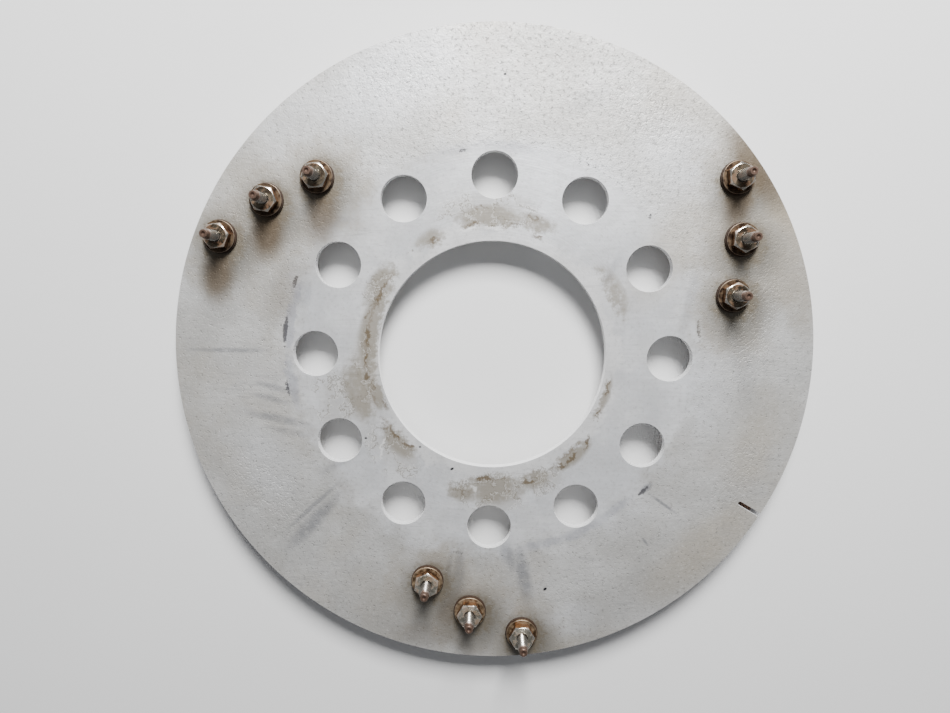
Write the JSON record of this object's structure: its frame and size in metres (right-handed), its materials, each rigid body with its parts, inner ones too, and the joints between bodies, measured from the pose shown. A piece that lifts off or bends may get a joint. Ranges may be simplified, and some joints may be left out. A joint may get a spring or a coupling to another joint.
{
  "type": "propeller de-ice slip ring",
  "caption": "Flat round aluminium plate with a large bore, bolt holes and threaded terminal studs, carrying copper slip rings in moulded insulation on its back.",
  "frame": {"origin": "on the axis of the bore, in the plane of the running faces of the copper rings, on which the part lies", "axes": "+Z along the propeller axis towards the terminals, +X through the middle of a bolt hole, 15 degrees before the first terminal"},
  "size_m": [0.217, 0.217, 0.0234],
  "materials": {
    "plate_aluminium": "satin sheet, cleaned bare, scuffed and stained round the bore and the terminals",
    "moulded_insulation": "dull brown moulded phenolic",
    "ring_copper": "copper, running face polished by the brushes with fine round scratches",
    "stud_metal": "bright turned shank with a brown worn end",
    "bushing_fibre": "dark brown laminated fibre",
    "washer_metal": "tarnished, with a bright rim",
    "nut_metal": "tarnished grey brown with red brown stains and bright corners"
  },
  "bodies": {
    "root": {"mounting_plate": "plate_aluminium", "insulating_ring": "moulded_insulation", "slip_ring_inner": "ring_copper", "slip_ring_middle": "ring_copper", "slip_ring_outer": "ring_copper", "terminal_stud_inner_1": "stud_metal", "terminal_stud_middle_1": "stud_metal", "terminal_stud_outer_1": "stud_metal", "terminal_stud_inner_2": "stud_metal", "terminal_stud_middle_2": "stud_metal", "terminal_stud_outer_2": "stud_metal", "terminal_stud_inner_3": "stud_metal", "terminal_stud_middle_3": "stud_metal", "terminal_stud_outer_3": "stud_metal", "terminal_bushing_inner_1": "bushing_fibre", "terminal_bushing_middle_1": "bushing_fibre", "terminal_bushing_outer_1": "bushing_fibre", "terminal_bushing_inner_2": "bushing_fibre", "terminal_bushing_middle_2": "bushing_fibre", "terminal_bushing_outer_2": "bushing_fibre", "terminal_bushing_inner_3": "bushing_fibre", "terminal_bushing_middle_3": "bushing_fibre", "terminal_bushing_outer_3": "bushing_fibre", "terminal_washers": "washer_metal", "terminal_nuts": "nut_metal"}
  },
  "joints": []
}
